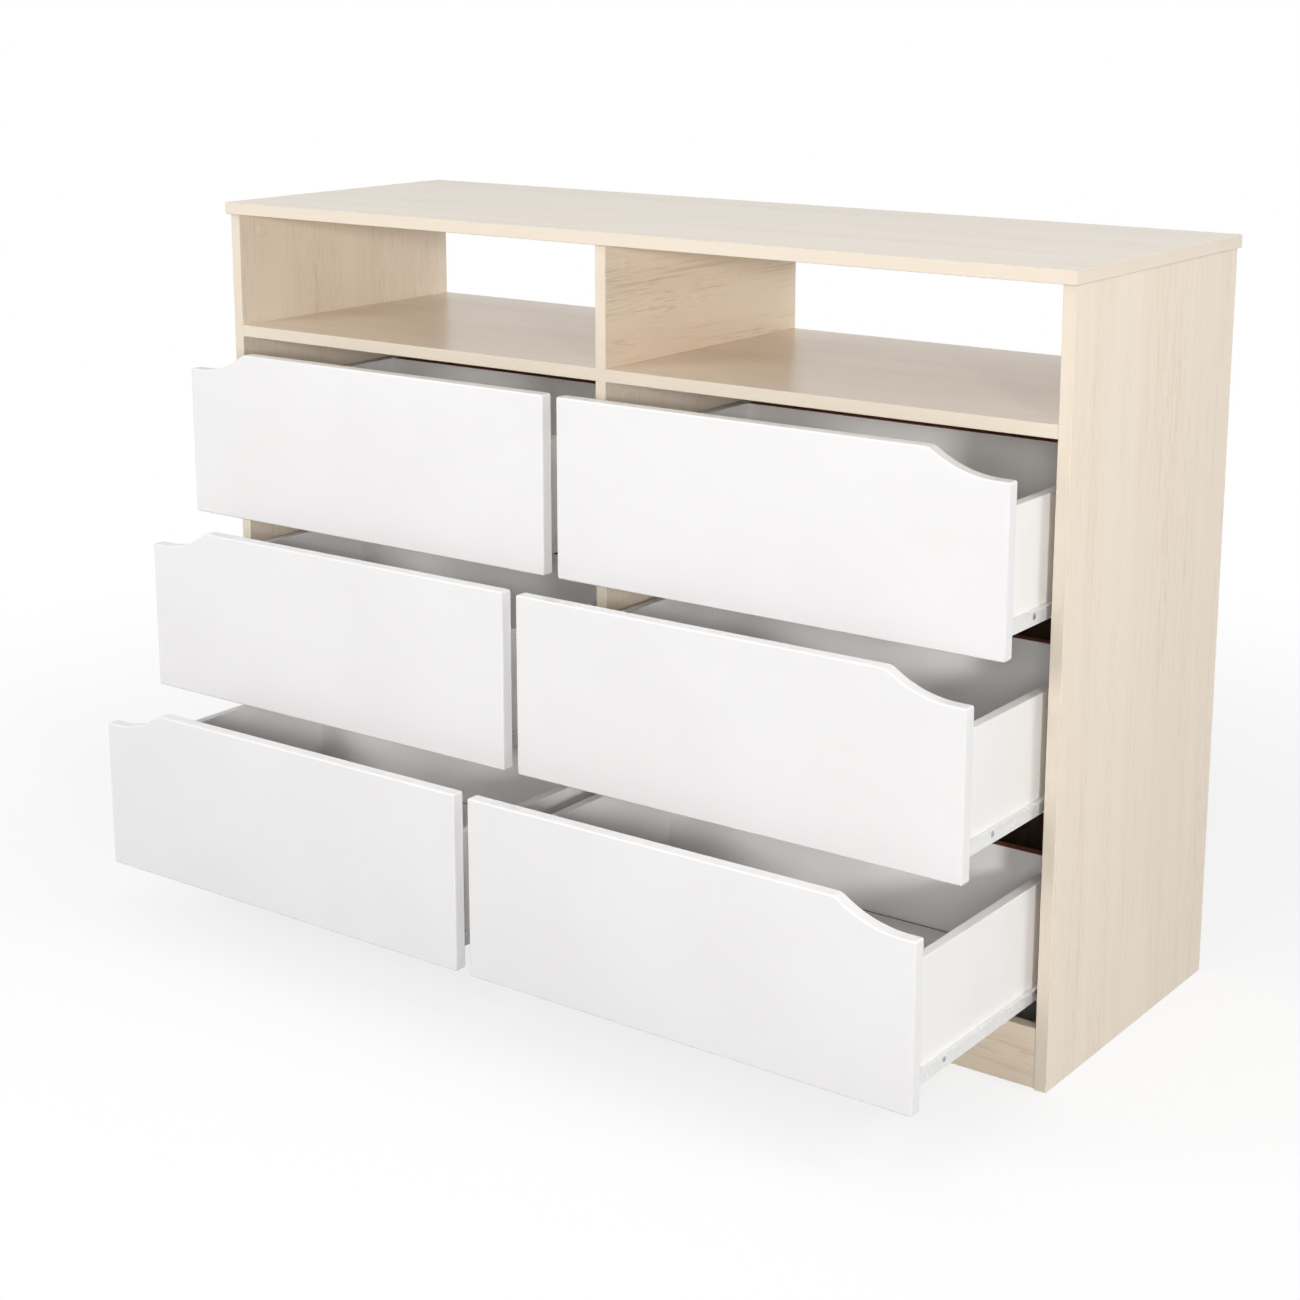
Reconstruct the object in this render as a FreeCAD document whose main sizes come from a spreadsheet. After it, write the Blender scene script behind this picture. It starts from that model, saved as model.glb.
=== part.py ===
import FreeCAD, Part
import operator
import os
from types import SimpleNamespace

import Sketcher
from FreeCAD import Vector

# Six-drawer dresser with two open cubbies above the drawers, in millimetres.
# The origin is on the floor at the middle of the carcass footprint.
# X runs to the right, Y to the back and Z up, so the drawers open towards -Y.
# The drawers are drawn as they stand at rest: each row pulled out by its own amount.

DIMENSIONS = (
    # carcass boards
    ("board", 15, "thickness of the carcass boards"),
    ("carcass_width", 1194, "over the two side panels"),
    ("carcass_depth", 400, "front to back of the side panels"),
    ("top_side_overhang", 3, "top panel past each side panel"),
    ("top_front_overhang", 7, "top panel past the front edges"),
    ("top_rear_overhang", 5, "top panel past the rear edges"),
    ("cubby_height", 143, "clear height of the cubbies"),
    ("edge_break", 0.6, "chamfer along the banded edges"),
    ("kick_height", 69, "kick board and rear rail"),
    ("kick_lift", 1, "kick board and rear rail above the floor"),
    ("kick_recess", 1.5, "kick board behind the front edges"),
    ("back_thickness", 3, "hardboard behind the drawer bays"),
    ("back_inset", 3, "hardboard inside the carcass outline"),
    ("back_shelf_lap", 10, "hardboard up the rear edge of the shelf"),
    ("back_seam", 1, "between the two hardboard panels"),
    # drawer fronts
    ("front_height", 210, "full height of a drawer front"),
    ("front_thickness", 15, "drawer front"),
    ("front_gap", 3, "above, below and between the fronts"),
    ("front_side_gap", 2.25, "front to carcass at each end"),
    ("front_edge_radius", 2, "rounding round the face of a front"),
    ("front_corner_radius", 2.5, "rounding of the corners of a front"),
    ("scoop_drop", 25.5, "depth of the finger scoop"),
    ("scoop_flat", 16, "level stretch at the outer end of the scoop"),
    ("scoop_hollow_radius", 130, "long hollow curve of the scoop"),
    ("scoop_brow_radius", 15, "short round at the top of the scoop"),
    # drawer boxes
    ("drawer_board", 12, "drawer sides and backs"),
    ("drawer_side_height", 133, "drawer sides"),
    ("drawer_side_lift", 21, "drawer sides above the lower edge of the front"),
    ("bottom_thickness", 4, "drawer bottoms"),
    ("bottom_lift", 10, "drawer bottoms above the lower edge of the sides"),
    ("groove_depth", 5, "grooves that hold the drawer bottoms"),
    ("groove_play", 0.2, "play of a bottom in its groove"),
    # roller slides
    ("slide_length", 350, "runners, rails and drawer sides"),
    ("slide_clearance", 12.5, "drawer side to carcass"),
    ("slide_overlap", 85, "runner left inside its rail at full extension"),
    ("steel", 1.2, "thickness of the slide steel"),
    ("runner_foot", 10, "runner flange under the drawer side"),
    ("runner_lip", 6.2, "runner flange that lies on the front roller"),
    ("rail_ledge", 10.5, "rail flange that carries the rear roller"),
    ("rail_hook", 5.1, "rail flange that keeps the rear roller down"),
    ("rail_setback", 18, "rail behind the front edges"),
    ("rail_lift", 0.2, "rail above the lower edge of the drawer sides"),
    ("roller_radius", 7, "nylon rollers"),
    ("roller_width", 7, "nylon rollers"),
    ("roller_bevel", 0.8, "chamfer on the rims of the rollers"),
    ("roller_play", 0.3, "roller to the flange that it runs on"),
    ("hook_play", 0.6, "rear roller to the flange above it"),
    ("roller_gap", 0.8, "roller to the web that carries it"),
    ("roller_inset", 9, "axle from the end of its rail or runner"),
    ("axle_radius", 2.4, "rivets that the rollers turn on"),
    ("axle_play", 0.08, "roller bore round its rivet"),
    ("stop_height", 3, "nib on the rail that stops the rear roller"),
    ("stop_length", 4, "the same nib, along the rail"),
    # knock-down fittings
    ("cam_radius", 7.4, "cam locks"),
    ("cam_depth", 12, "cam locks"),
    ("cam_play", 0.1, "cam lock in its bore"),
    ("cam_inset", 24, "cam lock from the joint that it draws up"),
    ("cam_setback", 40, "cam lock from the front or rear edge"),
    ("cam_slot_width", 3, "driver slot of a cam lock"),
    ("cam_slot_length", 10, "driver slot of a cam lock"),
    ("cam_slot_depth", 2, "driver slot of a cam lock"),
    ("dowel_radius", 4, "beech dowels"),
    ("dowel_play", 0.08, "dowel in its bore"),
    ("dowel_in_face", 10, "dowel into the face of a board"),
    ("dowel_in_end", 20, "dowel into the end of a board"),
    ("dowel_pitch", 32, "dowel from its cam lock"),
    ("dowel_kick_pitch", 20, "dowel above the cam lock of a kick board"),
    # travel that each row of drawers has left as it stands open at rest
    ("travel_left_top", 170, "top drawers"),
    ("travel_left_middle", 95, "middle drawers"),
    ("travel_left_bottom", 7, "bottom drawers"),
)

SIDES = (("left", -1), ("right", 1))
ROWS = ("bottom", "middle", "top")

doc = FreeCAD.newDocument("Dresser")
sheet = doc.addObject("Spreadsheet::Sheet", "Sizes")

OPERATIONS = {"+": operator.add, "-": operator.sub, "*": operator.mul, "/": operator.truediv}


class Size:
    """A length that knows its formula in the sheet as well as its number."""

    def __init__(self, formula, number):
        self.formula = formula
        self.number = number

    def __add__(self, other):
        return combine(self, "+", other)

    def __radd__(self, other):
        return combine(other, "+", self)

    def __sub__(self, other):
        return combine(self, "-", other)

    def __rsub__(self, other):
        return combine(other, "-", self)

    def __mul__(self, other):
        return combine(self, "*", other)

    def __rmul__(self, other):
        return combine(other, "*", self)

    def __truediv__(self, other):
        return combine(self, "/", other)

    def __neg__(self):
        return combine(0, "-", self)


def as_size(value):
    return value if isinstance(value, Size) else Size(str(value), value)


def combine(left, sign, right):
    left = as_size(left)
    right = as_size(right)
    return Size(f"({left.formula} {sign} {right.formula})", OPERATIONS[sign](left.number, right.number))


def fill_sheet():
    """Writes the driving dimensions into the sheet and returns them by name."""
    for row, (alias, number, note) in enumerate(DIMENSIONS, 1):
        sheet.set(f"A{row}", note)
        sheet.set(f"B{row}", str(number))
        sheet.setAlias(f"B{row}", alias)
    doc.recompute()
    return SimpleNamespace(**{alias: Size(f"Sizes.{alias}", number) for alias, number, _ in DIMENSIONS})


def bind(thing, name, size):
    thing.setExpression(name, as_size(size).formula)


def place(thing, x, y, z):
    for axis, size in zip("xyz", (x, y, z)):
        bind(thing, f".Placement.Base.{axis}", size)


# Sketches and features

def new_body(label):
    body = doc.addObject("PartDesign::Body", label)
    body.Label = label
    return body


def new_sketch(body, role, offset=0):
    """A sketch on one of the body's own origin planes, or at an offset along that plane's normal."""
    sketch = body.newObject("Sketcher::SketchObject", f"{body.Name}_sketch")
    plane = next(feature for feature in body.Origin.OriginFeatures if feature.Role == role)
    sketch.AttachmentSupport = [(plane, "")]
    sketch.MapMode = "FlatFace"
    bind(sketch, ".AttachmentOffset.Base.z", offset)
    return sketch


def locate(sketch, geometry, end, point):
    """Holds one point of a sketch at its place from the sketch's origin."""
    for kind, size in zip(("DistanceX", "DistanceY"), point):
        size = as_size(size)
        index = sketch.addConstraint(Sketcher.Constraint(kind, -1, 1, geometry, end, size.number))
        sketch.setExpression(f"Constraints[{index}]", size.formula)


def draw_polygon(sketch, points):
    spots = [Vector(as_size(x).number, as_size(y).number, 0) for x, y in points]
    lines = [Part.LineSegment(a, b) for a, b in zip(spots, spots[1:] + spots[:1])]
    first = sketch.addGeometry(lines, False)[0]
    for number, point in enumerate(points):
        this = first + number
        after = first + (number + 1) % len(points)
        sketch.addConstraint(Sketcher.Constraint("Coincident", this, 2, after, 1))
        locate(sketch, this, 1, point)


def draw_rectangle(sketch, low, high):
    draw_polygon(sketch, (low, (high[0], low[1]), high, (low[0], high[1])))


def draw_circle(sketch, centre, radius):
    middle = Vector(as_size(centre[0]).number, as_size(centre[1]).number, 0)
    circle = sketch.addGeometry(Part.Circle(middle, Vector(0, 0, 1), radius.number), False)
    locate(sketch, circle, 3, centre)
    index = sketch.addConstraint(Sketcher.Constraint("Radius", circle, radius.number))
    sketch.setExpression(f"Constraints[{index}]", radius.formula)


def extrude(body, kind, sketch, length, backwards):
    feature = body.newObject(f"PartDesign::{kind}", f"{body.Name}_{kind}")
    feature.Profile = sketch
    feature.Reversed = backwards
    bind(feature, "Length", length)
    return feature


def pad(body, sketch, length, backwards=False):
    return extrude(body, "Pad", sketch, length, backwards)


def pocket(body, sketch, length, backwards=False):
    """Cuts away from the sketch's normal, or along it if backwards, and tests that something was cut."""
    doc.recompute()
    before = body.Shape.Volume
    extrude(body, "Pocket", sketch, length, backwards)
    doc.recompute()
    if not body.Shape.Volume < before:
        raise ValueError(f"a cut in {body.Label} takes nothing away")


def dress(body, kind, feature, chosen, size_name, size):
    """A fillet or chamfer on the edges of a feature that pass the test."""
    doc.recompute()
    names = [f"Edge{n}" for n, edge in enumerate(feature.Shape.Edges, 1) if chosen(edge)]
    dressing = body.newObject(f"PartDesign::{kind}", f"{body.Name}_{kind}")
    dressing.Base = (feature, names)
    bind(dressing, size_name, size)
    return dressing


def edge_points(edge):
    return edge.discretize(3)


def new_board(label, low, size):
    """A board with its lowest corner at low, its arrises broken all round."""
    body = new_body(label)
    width, depth, height = size
    sketch = new_sketch(body, "XY_Plane")
    draw_rectangle(sketch, (0, 0), (width, depth))
    block = pad(body, sketch, height)
    dress(body, "Chamfer", block, lambda edge: True, "Size", s.edge_break)
    place(body, *low)
    return body


def bore(body, role, offset, centres, radius, depth, backwards=False):
    """Blind holes of one size, from a plane of the body at an offset."""
    sketch = new_sketch(body, role, offset)
    for centre in centres:
        draw_circle(sketch, centre, radius)
    pocket(body, sketch, depth, backwards)


def group(label, members):
    """Separate solids that share one node."""
    together = doc.addObject("Part::Compound", label)
    together.Label = label
    together.Links = members
    return together


s = fill_sheet()
nodes = []

# Heights and widths that several pieces share

inner_half = s.carcass_width / 2 - s.board
inner_width = s.carcass_width - 2 * s.board
bay_width = (inner_width - s.board) / 2
front_edge = -s.carcass_depth / 2
rear_edge = s.carcass_depth / 2
kick_top = s.kick_lift + s.kick_height
row_pitch = s.front_height + s.front_gap
shelf_underside = kick_top + s.front_gap + len(ROWS) * row_pitch
shelf_top = shelf_underside + s.board
side_height = shelf_top + s.cubby_height
kick_front = front_edge + s.kick_recess
kick_middle = s.kick_lift + s.kick_height / 2
rear_rail_front = rear_edge - s.board
slide_travel = s.slide_length - s.slide_overlap
opening_of = {
    "top": slide_travel - s.travel_left_top,
    "middle": slide_travel - s.travel_left_middle,
    "bottom": slide_travel - s.travel_left_bottom,
}

# Places of the cam locks and dowels along the depth of the carcass
cam_ys = (front_edge + s.cam_setback, rear_edge - s.cam_setback)
dowel_ys = (cam_ys[0] + s.dowel_pitch, cam_ys[1] - s.dowel_pitch)
divider_foot_ys = (dowel_ys[0] + s.dowel_pitch, dowel_ys[1] - s.dowel_pitch)
cam_bore = s.cam_radius + s.cam_play
dowel_bore = s.dowel_radius + s.dowel_play
half_board = s.board / 2


def along(ys):
    """Places along a board of full depth, from its own front edge."""
    return [y - front_edge for y in ys]


# Carcass

def make_top_panel():
    low_x = -s.carcass_width / 2 - s.top_side_overhang
    low_y = front_edge - s.top_front_overhang
    width = s.carcass_width + 2 * s.top_side_overhang
    depth = s.carcass_depth + s.top_front_overhang + s.top_rear_overhang
    body = new_board("top_panel", (low_x, low_y, side_height), (width, depth, s.board))
    joint_xs = (-inner_half - half_board, as_size(0), inner_half + half_board)
    centres = [(x - low_x, y - low_y) for x in joint_xs for y in dowel_ys]
    bore(body, "XY_Plane", 0, centres, dowel_bore, s.dowel_in_face, backwards=True)
    return body


def make_side_panel(name, side):
    low_x = -s.carcass_width / 2 if side < 0 else inner_half
    body = new_board(f"{name}_side_panel", (low_x, front_edge, 0), (s.board, s.carcass_depth, side_height))
    # the inner face looks along the bay: +X on the left panel, -X on the right one
    inner_face = s.board if side < 0 else as_size(0)
    into_right = side > 0
    cams = [(y, side_height - s.cam_inset) for y in along(cam_ys)]
    bore(body, "YZ_Plane", inner_face, cams, cam_bore, s.cam_depth, into_right)
    shelf_dowels = [(y, shelf_underside + half_board) for y in along(dowel_ys)]
    kick_z = kick_middle + s.dowel_kick_pitch
    kick_dowels = [(s.kick_recess + half_board, kick_z), (s.carcass_depth - half_board, kick_z)]
    bore(body, "YZ_Plane", inner_face, shelf_dowels + kick_dowels, dowel_bore, s.dowel_in_face, into_right)
    end_dowels = [(half_board, y) for y in along(dowel_ys)]
    bore(body, "XY_Plane", side_height, end_dowels, dowel_bore, s.dowel_in_end)
    return body


def make_shelf():
    body = new_board("shelf", (-inner_half, front_edge, shelf_underside),
                     (inner_width, s.carcass_depth, s.board))
    cam_xs = (s.cam_inset, inner_width - s.cam_inset)
    cams = [(x, y) for x in cam_xs for y in along(cam_ys)]
    bore(body, "XY_Plane", 0, cams, cam_bore, s.cam_depth, backwards=True)
    end_dowels = [(y, half_board) for y in along(dowel_ys)]
    bore(body, "YZ_Plane", 0, end_dowels, dowel_bore, s.dowel_in_end, backwards=True)
    bore(body, "YZ_Plane", inner_width, end_dowels, dowel_bore, s.dowel_in_end)
    partition_dowels = [(inner_half, y) for y in along(dowel_ys)]
    bore(body, "XY_Plane", 0, partition_dowels, dowel_bore, s.dowel_in_face, backwards=True)
    divider_dowels = [(inner_half, y) for y in along(divider_foot_ys)]
    bore(body, "XY_Plane", s.board, divider_dowels, dowel_bore, s.dowel_in_face)
    return body


def make_cubby_divider():
    body = new_board("cubby_divider", (-half_board, front_edge, shelf_top),
                     (s.board, s.carcass_depth, s.cubby_height))
    cams = [(y, s.cubby_height - s.cam_inset) for y in along(cam_ys)]
    bore(body, "YZ_Plane", s.board, cams, cam_bore, s.cam_depth)
    bore(body, "XY_Plane", s.cubby_height, [(half_board, y) for y in along(dowel_ys)],
         dowel_bore, s.dowel_in_end)
    bore(body, "XY_Plane", 0, [(half_board, y) for y in along(divider_foot_ys)],
         dowel_bore, s.dowel_in_end, backwards=True)
    return body


def make_centre_partition():
    """Notched at the foot, so that the kick board and the rear rail run past it in one length."""
    body = new_body("centre_partition")
    kick_back = s.kick_recess + s.board
    rail_face = s.carcass_depth - s.board
    sketch = new_sketch(body, "YZ_Plane")
    draw_polygon(sketch, (
        (kick_back, 0), (rail_face, 0), (rail_face, kick_top), (s.carcass_depth, kick_top),
        (s.carcass_depth, shelf_underside), (0, shelf_underside), (0, kick_top), (kick_back, kick_top)))
    block = pad(body, sketch, s.board)
    dress(body, "Chamfer", block, lambda edge: True, "Size", s.edge_break)
    cams = [(y, shelf_underside - s.cam_inset) for y in along(cam_ys)]
    bore(body, "YZ_Plane", s.board, cams, cam_bore, s.cam_depth)
    bore(body, "XY_Plane", shelf_underside, [(half_board, y) for y in along(dowel_ys)],
         dowel_bore, s.dowel_in_end)
    place(body, -half_board, front_edge, 0)
    return body


def make_plinth_board(label, low_y, cams_at_back):
    """The kick board in front, or the rear rail behind: the same board, cam locks on its inner face."""
    body = new_board(label, (-inner_half, low_y, s.kick_lift), (inner_width, s.board, s.kick_height))
    cams = [(x, s.kick_height / 2) for x in (s.cam_inset, inner_width - s.cam_inset)]
    # the plane's normal points to the front, so the board's rear face lies at a negative offset
    face = -s.board if cams_at_back else as_size(0)
    bore(body, "XZ_Plane", face, cams, cam_bore, s.cam_depth, backwards=cams_at_back)
    end_dowel = [(half_board, s.kick_height / 2 + s.dowel_kick_pitch)]
    bore(body, "YZ_Plane", 0, end_dowel, dowel_bore, s.dowel_in_end, backwards=True)
    bore(body, "YZ_Plane", inner_width, end_dowel, dowel_bore, s.dowel_in_end)
    return body


def make_back_panels():
    low_z = s.kick_lift + s.back_inset
    height = shelf_underside + s.back_shelf_lap - low_z
    width = s.carcass_width / 2 - s.back_inset - s.back_seam / 2
    panels = []
    for name, side in SIDES:
        low_x = -width - s.back_seam / 2 if side < 0 else s.back_seam / 2
        body = new_body(f"{name}_hardboard")
        sketch = new_sketch(body, "XY_Plane")
        draw_rectangle(sketch, (0, 0), (width, s.back_thickness))
        pad(body, sketch, height)
        place(body, low_x, rear_edge, low_z)
        panels.append(body)
    return group("back_panels", panels)


# Knock-down fittings

def make_cam_lock(number, spot, axis, angle):
    """A round cam with a driver slot in its face, turned to look out of its bore."""
    body = new_body(f"cam_lock_{number}")
    sketch = new_sketch(body, "XY_Plane")
    draw_circle(sketch, (0, 0), s.cam_radius)
    pad(body, sketch, s.cam_depth)
    slot = new_sketch(body, "XY_Plane", s.cam_depth)
    half_length = s.cam_slot_length / 2
    half_width = s.cam_slot_width / 2
    draw_rectangle(slot, (-half_length, -half_width), (half_length, half_width))
    pocket(body, slot, s.cam_slot_depth)
    body.Placement = FreeCAD.Placement(Vector(0, 0, 0), FreeCAD.Rotation(axis, angle))
    place(body, *spot)
    return body


def make_cam_locks():
    """Every cam stands on the floor of its bore; the turn points its slot out of the board."""
    across = Vector(0, 1, 0)
    level = Vector(1, 0, 0)
    faces_right = (across, 90)
    faces_left = (across, -90)
    faces_down = (level, 180)
    faces_back = (level, -90)
    faces_front = (level, 90)
    spots = []
    for y in cam_ys:
        top_z = side_height - s.cam_inset
        spots.append(((-inner_half - s.cam_depth, y, top_z), faces_right))
        spots.append(((inner_half + s.cam_depth, y, top_z), faces_left))
        spots.append(((half_board - s.cam_depth, y, top_z), faces_right))
        spots.append(((half_board - s.cam_depth, y, shelf_underside - s.cam_inset), faces_right))
    for side in (-1, 1):
        x = side * (inner_half - s.cam_inset)
        for y in cam_ys:
            spots.append(((x, y, shelf_underside + s.cam_depth), faces_down))
        kick_back = kick_front + s.board
        spots.append(((x, kick_back - s.cam_depth, kick_middle), faces_back))
        spots.append(((x, rear_rail_front + s.cam_depth, kick_middle), faces_front))
    return group("cam_locks", [make_cam_lock(n, spot, *turn) for n, (spot, turn) in enumerate(spots, 1)])


def make_dowel(number, spot, role):
    """A dowel that starts at the spot and runs along the normal of the named plane."""
    body = new_body(f"dowel_{number}")
    sketch = new_sketch(body, role)
    draw_circle(sketch, (0, 0), s.dowel_radius)
    pad(body, sketch, s.dowel_in_face + s.dowel_in_end)
    place(body, *spot)
    return body


def make_dowels():
    spots = []
    for y in dowel_ys:
        for x in (-inner_half - half_board, as_size(0), inner_half + half_board):
            spots.append(((x, y, side_height - s.dowel_in_end), "XY_Plane"))
        spots.append(((as_size(0), y, shelf_underside - s.dowel_in_end), "XY_Plane"))
    for y in divider_foot_ys:
        spots.append(((as_size(0), y, shelf_top - s.dowel_in_face), "XY_Plane"))
    level_ends = [(y, shelf_underside + half_board) for y in dowel_ys]
    for y in (kick_front + half_board, rear_edge - half_board):
        level_ends.append((y, kick_middle + s.dowel_kick_pitch))
    for y, z in level_ends:
        spots.append(((-inner_half - s.dowel_in_face, y, z), "YZ_Plane"))
        spots.append(((inner_half - s.dowel_in_end, y, z), "YZ_Plane"))
    return group("dowels", [make_dowel(n, spot, role) for n, (spot, role) in enumerate(spots, 1)])


# Drawers

front_width = bay_width - 2 * s.front_side_gap
box_width = bay_width - 2 * s.slide_clearance
inside_width = box_width - 2 * s.drawer_board
bottom_width = inside_width + 2 * (s.groove_depth - s.groove_play)
bottom_depth = s.slide_length + s.groove_depth - s.groove_play
groove_height = s.bottom_thickness + s.groove_play
groove_low = s.drawer_side_lift + s.bottom_lift
back_height = s.drawer_side_height - s.bottom_lift - s.bottom_thickness

TOUCH = 0.001


def draw_front(sketch, side):
    """The outline of a front: square but for the ogee scoop at its outer upper corner.

    It runs from the inner end, towards +X on the right column and towards -X on the left one.
    """
    width = front_width.number
    height = s.front_height.number
    hollow = s.scoop_hollow_radius.number
    brow = s.scoop_brow_radius.number
    low = height - s.scoop_drop.number
    hollow_x = width - s.scoop_flat.number
    # the two curves meet on the line between their centres
    rise = hollow + brow - s.scoop_drop.number
    reach = ((hollow + brow) ** 2 - rise ** 2) ** 0.5
    share = hollow / (hollow + brow)

    def spot(x, z):
        return Vector(side * x, z, 0)

    def curve(start, centre, end):
        outward = (start - centre) + (end - centre)
        return Part.Arc(start, centre + outward.normalize() * (start - centre).Length, end)

    hollow_centre = spot(hollow_x, low + hollow)
    brow_centre = spot(hollow_x - reach, height - brow)
    meeting = hollow_centre + (brow_centre - hollow_centre) * share
    foot = spot(hollow_x, low)
    crest = spot(hollow_x - reach, height)
    bottom, end, flat, hollow_arc, brow_arc, top, inner = sketch.addGeometry([
        Part.LineSegment(spot(0, 0), spot(width, 0)),
        Part.LineSegment(spot(width, 0), spot(width, low)),
        Part.LineSegment(spot(width, low), foot),
        curve(foot, hollow_centre, meeting),
        curve(meeting, brow_centre, crest),
        Part.LineSegment(crest, spot(0, height)),
        Part.LineSegment(spot(0, height), spot(0, 0)),
    ], False)
    # an arc's points are numbered anticlockwise, so they swap on the mirrored front
    arc_foot, arc_crest = (2, 1) if side > 0 else (1, 2)
    for line, following in ((bottom, end), (end, flat), (top, inner), (inner, bottom)):
        sketch.addConstraint(Sketcher.Constraint("Coincident", line, 2, following, 1))
    sketch.addConstraint(Sketcher.Constraint("Tangent", flat, 2, hollow_arc, arc_foot))
    sketch.addConstraint(Sketcher.Constraint("Tangent", hollow_arc, arc_crest, brow_arc, arc_crest))
    sketch.addConstraint(Sketcher.Constraint("Tangent", brow_arc, arc_foot, top, 1))
    sketch.addConstraint(Sketcher.Constraint("Horizontal", top))
    scoop_low = s.front_height - s.scoop_drop
    locate(sketch, bottom, 1, (0, 0))
    locate(sketch, bottom, 2, (side * front_width, 0))
    locate(sketch, end, 2, (side * front_width, scoop_low))
    locate(sketch, flat, 2, (side * (front_width - s.scoop_flat), scoop_low))
    locate(sketch, inner, 1, (0, s.front_height))
    for arc, radius in ((hollow_arc, s.scoop_hollow_radius), (brow_arc, s.scoop_brow_radius)):
        index = sketch.addConstraint(Sketcher.Constraint("Radius", arc, radius.number))
        sketch.setExpression(f"Constraints[{index}]", radius.formula)


def make_front(label, side, middle_x, face_y, low_z):
    """A front with rounded face and corners, and a stopped groove behind for the drawer bottom."""
    body = new_body(label)
    sketch = new_sketch(body, "XZ_Plane")
    draw_front(sketch, side)
    block = pad(body, sketch, s.front_thickness, backwards=True)
    end_x = side * front_width.number

    def at_corner(edge):
        points = edge_points(edge)
        upright = all(min(abs(p.x), abs(p.x - end_x)) < TOUCH for p in points)
        return upright and abs(points[0].z - points[-1].z) < TOUCH

    def on_face(edge):
        return all(abs(p.y) < TOUCH for p in edge_points(edge))

    corners = dress(body, "Fillet", block, at_corner, "Radius", s.front_corner_radius)
    dress(body, "Fillet", corners, on_face, "Radius", s.front_edge_radius)
    groove_width = bottom_width + 2 * s.groove_play
    groove = new_sketch(body, "YZ_Plane", side * front_width / 2 - groove_width / 2)
    draw_rectangle(groove, (s.front_thickness - s.groove_depth, groove_low),
                   (s.front_thickness, groove_low + groove_height))
    pocket(body, groove, groove_width, backwards=True)
    place(body, middle_x - side * front_width / 2, face_y, low_z)
    return body


def make_drawer_side(label, hand, middle_x, low_y, low_z):
    """The side at the left (-1) or right (+1) of a drawer, grooved inside for the bottom."""
    low_x = middle_x - box_width / 2 if hand < 0 else middle_x + box_width / 2 - s.drawer_board
    body = new_board(label, (low_x, low_y, low_z),
                     (s.drawer_board, s.slide_length, s.drawer_side_height))
    groove_x = s.drawer_board - s.groove_depth if hand < 0 else as_size(0)
    groove = new_sketch(body, "XZ_Plane")
    draw_rectangle(groove, (groove_x, s.bottom_lift),
                   (groove_x + s.groove_depth, s.bottom_lift + groove_height))
    pocket(body, groove, s.slide_length)
    return body


def make_drawer_back(label, middle_x, box_y, side_z):
    low_y = box_y + s.slide_length - s.drawer_board
    low_z = side_z + s.bottom_lift + s.bottom_thickness
    return new_board(label, (middle_x - inside_width / 2, low_y, low_z),
                     (inside_width, s.drawer_board, back_height))


def make_drawer_bottom(label, middle_x, box_y, side_z):
    """A sheet in the grooves of the sides and the front, run out flush under the back."""
    body = new_body(label)
    sketch = new_sketch(body, "XY_Plane")
    draw_rectangle(sketch, (0, 0), (bottom_width, bottom_depth))
    pad(body, sketch, s.bottom_thickness)
    low_y = box_y - (s.groove_depth - s.groove_play)
    place(body, middle_x - bottom_width / 2, low_y, side_z + s.bottom_lift)
    return body


# Roller slides. Heights are from the lower edge of the drawer sides.

ledge_top = s.rail_lift + s.steel
axle_height = ledge_top + s.roller_play + s.roller_radius
lip_underside = axle_height + s.roller_radius + s.roller_play
hook_underside = axle_height + s.roller_radius + s.hook_play
axle_length = s.steel + 2 * s.roller_gap + s.roller_width
roller_start = s.steel + s.roller_gap
# the rear rollers stop here at full extension, measured along the rail
last_axle_y = s.front_thickness + s.slide_overlap - s.roller_inset - s.rail_setback


def mirrored(points, hand):
    return [(hand * x, z) for x, z in points]


def make_runner(label, hand, box_x, box_y, side_z):
    """Folded steel: a foot under the drawer side, a web beside it and a lip that rides the front roller."""
    body = new_body(label)
    profile = new_sketch(body, "XZ_Plane")
    draw_polygon(profile, mirrored((
        (-s.runner_foot, -s.steel), (s.steel, -s.steel), (s.steel, lip_underside),
        (s.runner_lip, lip_underside), (s.runner_lip, lip_underside + s.steel),
        (0, lip_underside + s.steel), (0, 0), (-s.runner_foot, 0)), hand))
    pad(body, profile, s.slide_length, backwards=True)
    rivet = new_sketch(body, "YZ_Plane")
    draw_circle(rivet, (s.slide_length - s.roller_inset, axle_height), s.axle_radius)
    pad(body, rivet, axle_length, backwards=hand < 0)
    place(body, box_x, box_y, side_z)
    return body


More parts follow.
